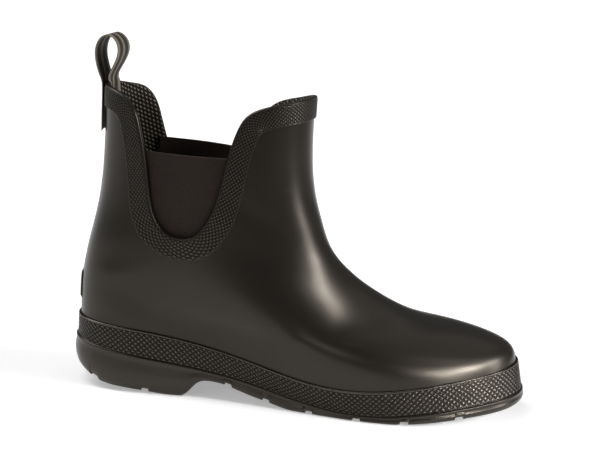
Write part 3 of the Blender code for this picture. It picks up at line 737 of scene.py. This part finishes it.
def add_outsole():
    """Loops of the sole outline from the bead down the wall to the tread, capped by cross strips;
    the underside is a height line over the length, with grooves let into it."""
    start, reach = SECTIONS[0, 0], SECTIONS[0, 1] - SECTIONS[0, 0]
    lips = (GROOVES[:, None] + np.array((-0.5, -0.46, 0.46, 0.5)) * GROOVE_WIDTH).ravel()
    wanted = np.concatenate([lips, start + reach * (1 - np.cos(np.linspace(0.0, math.pi, 221))) / 2])
    wanted = np.unique(np.round(wanted, 2))
    keep = np.concatenate([[True], np.diff(wanted) > 0.15])
    half = np.arccos(np.clip(1 - 2 * (wanted[keep] - start) / reach, -1, 1))
    half = half[(half > 0.004) & (half < math.pi - 0.004)]
    angle = np.concatenate([[0.0], half, [math.pi], 2 * math.pi - half[::-1]])
    count, middle = len(angle), len(angle) // 2
    foot = surface(angle, 0.0)
    normal = outward(angle, 0.0) * (1, 1, 0)
    normal /= np.linalg.norm(normal, axis=1, keepdims=True)
    top = foot[:, 2] - 0.5 * GAP
    soft = np.linspace(-3.0, 3.0, 13)
    low = np.mean([np.interp(foot[:, 0] + s, UNDERSIDE[:, 0], UNDERSIDE[:, 1]) for s in soft], 0)
    cut = (np.abs(foot[:, :1] - GROOVES) < GROOVE_WIDTH * 0.48).any(1) * GROOVE_DRAWN
    tall = np.maximum(top - low - cut, SOLE_LEAST)
    out, drop, fixed = SOLE_PROFILE.T[..., None]
    side = foot + normal * out[..., None]
    side[..., 2] = top - np.minimum(tall * drop + fixed * np.minimum(tall / FULL_WALL, 1.0), tall)
    points = [side.reshape(-1, 3)]
    faces = [quads(*side.shape[:2], True, False)]
    across = np.linspace(0.0, 1.0, 9)[1:-1, None]
    medial = np.arange(1, middle)
    lateral = count - medial
    used = len(points[0])
    for ring in (0, len(side) - 1):
        a, b = side[ring, medial], side[ring, lateral]
        strip = a[:, None] + (b - a)[:, None] * across
        if ring:
            strip[:, 1:-1, 2] -= np.minimum(cut, np.maximum(top - low - SOLE_LEAST, 0.0))[medial, None]
        inner = used + np.arange(strip[..., 0].size).reshape(strip.shape[:2])
        ends = [(ring * count + edge)[:, None] for edge in (medial, lateral)]
        numbers = np.concatenate([ends[0], inner, ends[1]], 1)
        points.append(strip.reshape(-1, 3))
        used += inner.size
        cells = np.stack([numbers[:-1, :-1], numbers[:-1, 1:], numbers[1:, 1:], numbers[1:, :-1]], -1)
        # at heel and toe a fan of quads closes the last strip to the tip
        fans = [np.stack([np.full(len(row) // 2, ring * count + tip), row[:-2:2], row[1:-1:2], row[2::2]], -1)
                for tip, row in ((0, numbers[0]), (middle, numbers[-1][::-1]))]
        cap = np.concatenate([cells.reshape(-1, 4), *fans])
        faces.append(cap if ring else cap[:, ::-1])
    points, faces = np.concatenate(points), np.concatenate(faces)
    piece("outsole_rubber", points, faces, SOLE_RUBBER, ("outsole",))


def add_gore(name, side, line, tops):
    """Ribbed elastic panel behind the cut-out: a patch of an inner offset of the upper, its lower edge
    following the cut-out, with round cross ribs and a turned hem at the top; each row runs round the
    front face and back along the rear face."""
    lap = moved(collar_height(line), -GORE_LAP)
    inside = np.where(lap < min(tops) - 1.0)[0]
    columns, rows = 61, 401
    girth = np.linspace(GIRTH[inside[0]], GIRTH[inside[-1]], columns)
    bottom = np.interp(girth, GIRTH, lap)
    top = np.linspace(tops[0], tops[1], columns)
    z = bottom + (top - bottom) * np.linspace(0.0, 1.0, rows)[:, None]
    angle = np.broadcast_to(to_angle(girth, side), z.shape)
    level = level_at(angle, z)
    below = top - z
    rib = np.abs(np.sin(math.pi * below / RIB_PITCH)) ** 0.7
    hem = 1 - smooth(HEM_TALL, HEM_TALL + 0.4, below)
    fall = 0.5 * (1 - smooth(0.0, 0.7, below))
    relief = RIB_RELIEF * rib * (1 - 0.6 * hem) + 0.5 * RIB_RELIEF * hem
    front = offset(angle, level, relief - (WALL + GAP + GORE_SET_BACK) - fall)
    back = offset(angle, level, -(WALL + GAP + GORE_THICK))
    points = np.concatenate([front, back[:, ::-1]], 1)
    faces = np.concatenate([quads(*points.shape[:2], True, False), end_caps(*points.shape[:2])])
    u = np.tile(np.concatenate([girth, girth[::-1]]), rows)
    v = np.concatenate([z, z[:, ::-1]], 1).ravel()
    piece(name + "_knit", points, faces, GORE_KNIT, (name,), np.stack([u[faces], v[faces]], -1))


def add_loop():
    """Woven tape carried along its bent path, turned and bowed row by row, thinner at its edges."""
    path = cardinal(range(len(TAPE_PATH)), np.linspace(0.0, len(TAPE_PATH) - 1.0, 181)) @ TAPE_PATH
    ahead = np.gradient(path[:, :2], axis=0)
    ahead /= np.linalg.norm(ahead, axis=1, keepdims=True)
    side = np.stack([-ahead[:, 1], ahead[:, 0]], -1)
    share = np.linspace(-0.5, 0.5, 23)
    half = TAPE_THICK / 2 * (1 - smooth(0.45, 0.5, np.abs(share)) * 0.65)
    order = np.concatenate([share, share[::-1]])
    lift = np.concatenate([half, -half])
    turn = np.radians(path[:, 2])[:, None]
    y = order * TAPE_WIDTH * np.cos(turn)
    x = path[:, None, 0] + order * TAPE_WIDTH * np.sin(turn) + path[:, None, 3] * (2 * order) ** 2
    points = np.stack([x + side[:, None, 0] * lift, y, path[:, None, 1] + side[:, None, 1] * lift], -1)
    caps = end_caps(*points.shape[:2])
    faces = np.concatenate([quads(*points.shape[:2], True, False), caps])
    flat = corner_flat(np.append(order, order[0]) * TAPE_WIDTH, run_along(path[:, :2]))
    flat = np.concatenate([flat, np.zeros((*caps.shape, 2))])
    piece("pull_loop_tape", points, faces, LOOP_TAPE, ("pull_loop",), flat)


def add_patch():
    """Plain raised plate on the heel: a patch of an outer offset whose edges fall away."""
    across = np.linspace(-1.0, 1.0, 61)
    up = np.linspace(-1.0, 1.0, 41)
    v, u = np.meshgrid(up, across, indexing="ij")
    angle = u * PATCH_HALF
    level = level_at(angle, (PATCH_LOW + PATCH_HIGH) / 2 + v * (PATCH_HIGH - PATCH_LOW) / 2)
    edge = np.maximum(smooth(0.93, 1.0, np.abs(u)), smooth(0.86, 1.0, np.abs(v)))
    front = offset(angle, level, GAP + PATCH_DRAWN * (1 - 0.75 * edge))
    back = offset(angle, level, GAP * 0.3)[::-1]
    points = np.concatenate([front, back])
    rows, columns = points.shape[:2]
    rim = np.arange(len(up) - 1)
    strip = np.stack([rim, rim + 1, rows - 2 - rim, rows - 1 - rim], -1) * columns
    faces = np.concatenate([quads(rows, columns, False, True), strip, strip[:, ::-1] + columns - 1])
    piece("heel_plate", points, faces, UPPER_RUBBER, ("heel_patch",))


def add_insole():
    """Footbed: cross strips between the two inner walls, cupped at the edges, with a flat underside."""
    half = np.linspace(0.06, math.pi - 0.06, 121)
    columns = 25
    rise = np.concatenate([np.linspace(0.0, 1.0, columns), np.linspace(1.0, 0.0, columns)])
    foot_z = surface(half, 0.0)[:, 2]
    inset = -(WALL + INSOLE_CLEAR)
    level = level_at(half, foot_z + INSOLE_THICK)
    medial = surface(half, level) + outward(half, level) * inset
    lateral = surface(-half, level) + outward(-half, level) * inset
    points = medial[:, None] + (lateral - medial)[:, None] * rise[:, None]
    cup = INSOLE_CUP * np.abs(2 * rise - 1) ** 4
    top = np.arange(2 * columns) < columns
    points[..., 2] = foot_z[:, None] + np.where(top, INSOLE_THICK - INSOLE_CUP + cup, 0.0)
    faces = np.concatenate([quads(*points.shape[:2], True, False), end_caps(*points.shape[:2])])
    made = piece("footbed", points, faces, FOOTBED, ("insole",))


add_upper()
add_trim()
add_collar_bead()
add_foxing()
add_outsole()
add_gore("gore_lateral", -1, COLLAR_LATERAL, GORE_TOP_LATERAL)
add_gore("gore_medial", 1, COLLAR_MEDIAL, GORE_TOP_MEDIAL)
add_loop()
add_patch()
add_insole()


# Studio: pale floor, soft lights, camera at the photograph's angle

FLOOR_GREY = "#8c8a88"
FAR_LAMP, NEAR_LAMP = 1.5, 0.8  # metres from what they light
# Azimuth, height, strength
TOE_SPOTS = (-60, 14, 14), (-50, 18, 12), (-41, 24, 14), (-32, 25, 16), (-23, 26, 8)
INSTEP_SPOTS = (-9, 38, 10), (-17, 46, 8), (-28, 50, 10), (-38, 54, 8)
CAMERA_AWAY = 1.1
CAMERA_AIM = np.array((0.14, 0.0, 0.085)) - CENTRE * MM
# Azimuth from the side view toward the toe, height and roll, in degrees; lens and aim in pixels
CAMERA_AZIMUTH, CAMERA_HEIGHT, CAMERA_ROLL = 8.6, 13.26, 2.5
FOCAL, FRAME_WIDTH, AIM_RIGHT, AIM_UP = 1809.7, 600.0, -1.3, 30.7
SENSOR = 36.0


def add_sheet(name, colour, painted_glow, corners, low, fades=()):
    """Flat stage sheet in metres, a little below the boot, which glows with painted light of the given
    strength. Each fade names an axis and two places on it between which the sheet's white and glow fall off to
    the floor's grey: a painted edge of a pool of light."""
    mesh = bpy.data.meshes.new(name)
    (x0, y0), (x1, y1) = corners
    mesh.from_pydata([(x0, y0, 0), (x1, y0, 0), (x1, y1, 0), (x0, y1, 0)], [], [(0, 1, 2, 3)])
    made, tree, shader = new_material(name)
    feed(tree, shader, {"Base Color": linear(colour), "Roughness": 0.9, "Specular IOR Level": 0.1,
                        "Emission Color": linear("#ffffff"), "Emission Strength": painted_glow})
    if fades:
        place = node(tree, "ShaderNodeTexCoord", {}, {}).outputs["Object"]
        apart = node(tree, "ShaderNodeSeparateXYZ", {}, {"Vector": place})
        share = 1.0
        # each fade paints the edge of a pool of light into the sheet's white and its glow
        for axis, full, gone in fades:
            part = node(tree, "ShaderNodeMapRange", {"interpolation_type": "SMOOTHSTEP"},
                        {"Value": apart.outputs[axis], "From Min": gone, "From Max": full})
            share = node(tree, "ShaderNodeMath", {"operation": "MULTIPLY"},
                         {0: share, 1: part.outputs["Result"]}).outputs["Value"]
        painted_pool_glow = node(tree, "ShaderNodeMath", {"operation": "MULTIPLY"}, {0: share, 1: painted_glow})
        feed(tree, shader, {"Base Color": graded(tree, share, 0.0, 1.0, FLOOR_GREY, colour),
                            "Emission Strength": painted_pool_glow.outputs["Value"]})
    mesh.materials.append(made)
    sheet = bpy.data.objects.new(name, mesh)
    sheet.location = (0, 0, -low)
    bpy.context.scene.collection.objects.link(sheet)


def toward(azimuth, height):
    """Unit vector toward an azimuth (0 toward the toe, 90 toward the medial side) and a height, in degrees."""
    a, h = math.radians(azimuth), math.radians(height)
    return np.array((math.cos(h) * math.cos(a), math.cos(h) * math.sin(a), math.sin(h)))


def placed(name, data, place, target, roll=0.0):
    """Lamp or camera at a place in metres, turned to look at a target and rolled about that line."""
    turn = (Vector(target) - Vector(place)).to_track_quat('-Z', 'Y').to_matrix()
    made = bpy.data.objects.new(name, data)
    made.location = place
    made.rotation_euler = (turn @ Matrix.Rotation(roll, 3, 'Z')).to_euler()
    bpy.context.scene.collection.objects.link(made)
    return made


def add_light(name, azimuth, height, wide, strength):
    """Far soft light from an azimuth and a height, filling a disc of the sky that many degrees wide."""
    lamp = bpy.data.lights.new(name, 'SUN')
    lamp.angle = math.radians(wide)
    lamp.energy = strength
    placed(name, lamp, FAR_LAMP * toward(azimuth, height), (0.0, 0.0, 0.0))


def add_spot(name, aim, azimuth, height, wide, cone, strength):
    """Soft spot lamp near a point of the boot in millimetres, seen from there at an azimuth and a
    height, that many degrees wide; its cone, also in degrees, lights that place alone."""
    target = (np.array(aim) - CENTRE) * MM
    lamp = bpy.data.lights.new(name, 'SPOT')
    lamp.energy = strength
    lamp.shadow_soft_size = NEAR_LAMP * math.tan(math.radians(wide / 2))
    lamp.spot_size = math.radians(cone)
    lamp.spot_blend = 0.7
    placed(name, lamp, target + NEAR_LAMP * toward(azimuth, height), target)


def add_camera():
    """Camera of the photograph: azimuth, height, roll and lens, aimed so that no shift is needed."""
    roll = math.radians(CAMERA_ROLL)
    back = toward(CAMERA_AZIMUTH - 90, CAMERA_HEIGHT)
    right = toward(CAMERA_AZIMUTH, 0.0)
    up = np.cross(back, right)
    tilted_right = right * math.cos(roll) + up * math.sin(roll)
    tilted_up = up * math.cos(roll) - right * math.sin(roll)
    target = CAMERA_AIM + (tilted_up * AIM_UP + tilted_right * AIM_RIGHT) * CAMERA_AWAY / FOCAL
    lens = bpy.data.cameras.new("photo_camera")
    lens.lens = FOCAL / FRAME_WIDTH * SENSOR
    lens.sensor_width = SENSOR
    place = CAMERA_AIM + back * CAMERA_AWAY
    bpy.context.scene.camera = placed("photo_camera", lens, place, target, roll)


# the paper's glow of 0.35 is painted light, and its fades paint where that pool of light ends
add_sheet("white_paper_roll", "#f4f4f4", 0.35, ((-2.0, -0.6), (0.7, 3.5)), 0.0002,
          (("Y", -0.18, -0.55), ("X", 0.32, 0.62), ("X", -1.0, -1.8), ("Y", 3.0, 3.45)))
add_sheet("studio_floor", FLOOR_GREY, 0.0, ((-6.0, -6.0), (6.0, 6.0)), 0.002)
# a row of small lamps along the toe cap and one down the instep draw the long soft highlights
for azimuth, height, strength in TOE_SPOTS:
    add_spot(f"toe_spot_{-azimuth}", (247.0, -28.0, 36.0), azimuth, height, 7, 8, strength)
for azimuth, height, strength in INSTEP_SPOTS:
    add_spot(f"instep_spot_{-azimuth}", (158.0, -18.0, 92.0), azimuth, height, 9, 9, strength)
add_light("front_strip_low", -3, 9, 16, 0.65)
add_light("front_strip_middle", -4, 25, 16, 1.3)
add_light("overhead_box", 60, 65, 50, 0.17)
add_light("back_left_low_box", 165, 26, 20, 0.14)
add_light("back_left_box", 162, 46, 22, 0.9)
add_light("high_left_box", 155, 66, 25, 0.9)
add_light("front_fill", -118, 24, 30, 0.35)
add_camera()

world = bpy.data.worlds.new("studio")
world.use_nodes = True
world.node_tree.nodes["Background"].inputs["Color"].default_value = (1.0, 1.0, 1.0, 1.0)
world.node_tree.nodes["Background"].inputs["Strength"].default_value = 0.1
bpy.context.scene.world = world
bpy.context.scene.view_settings.view_transform = 'Standard'
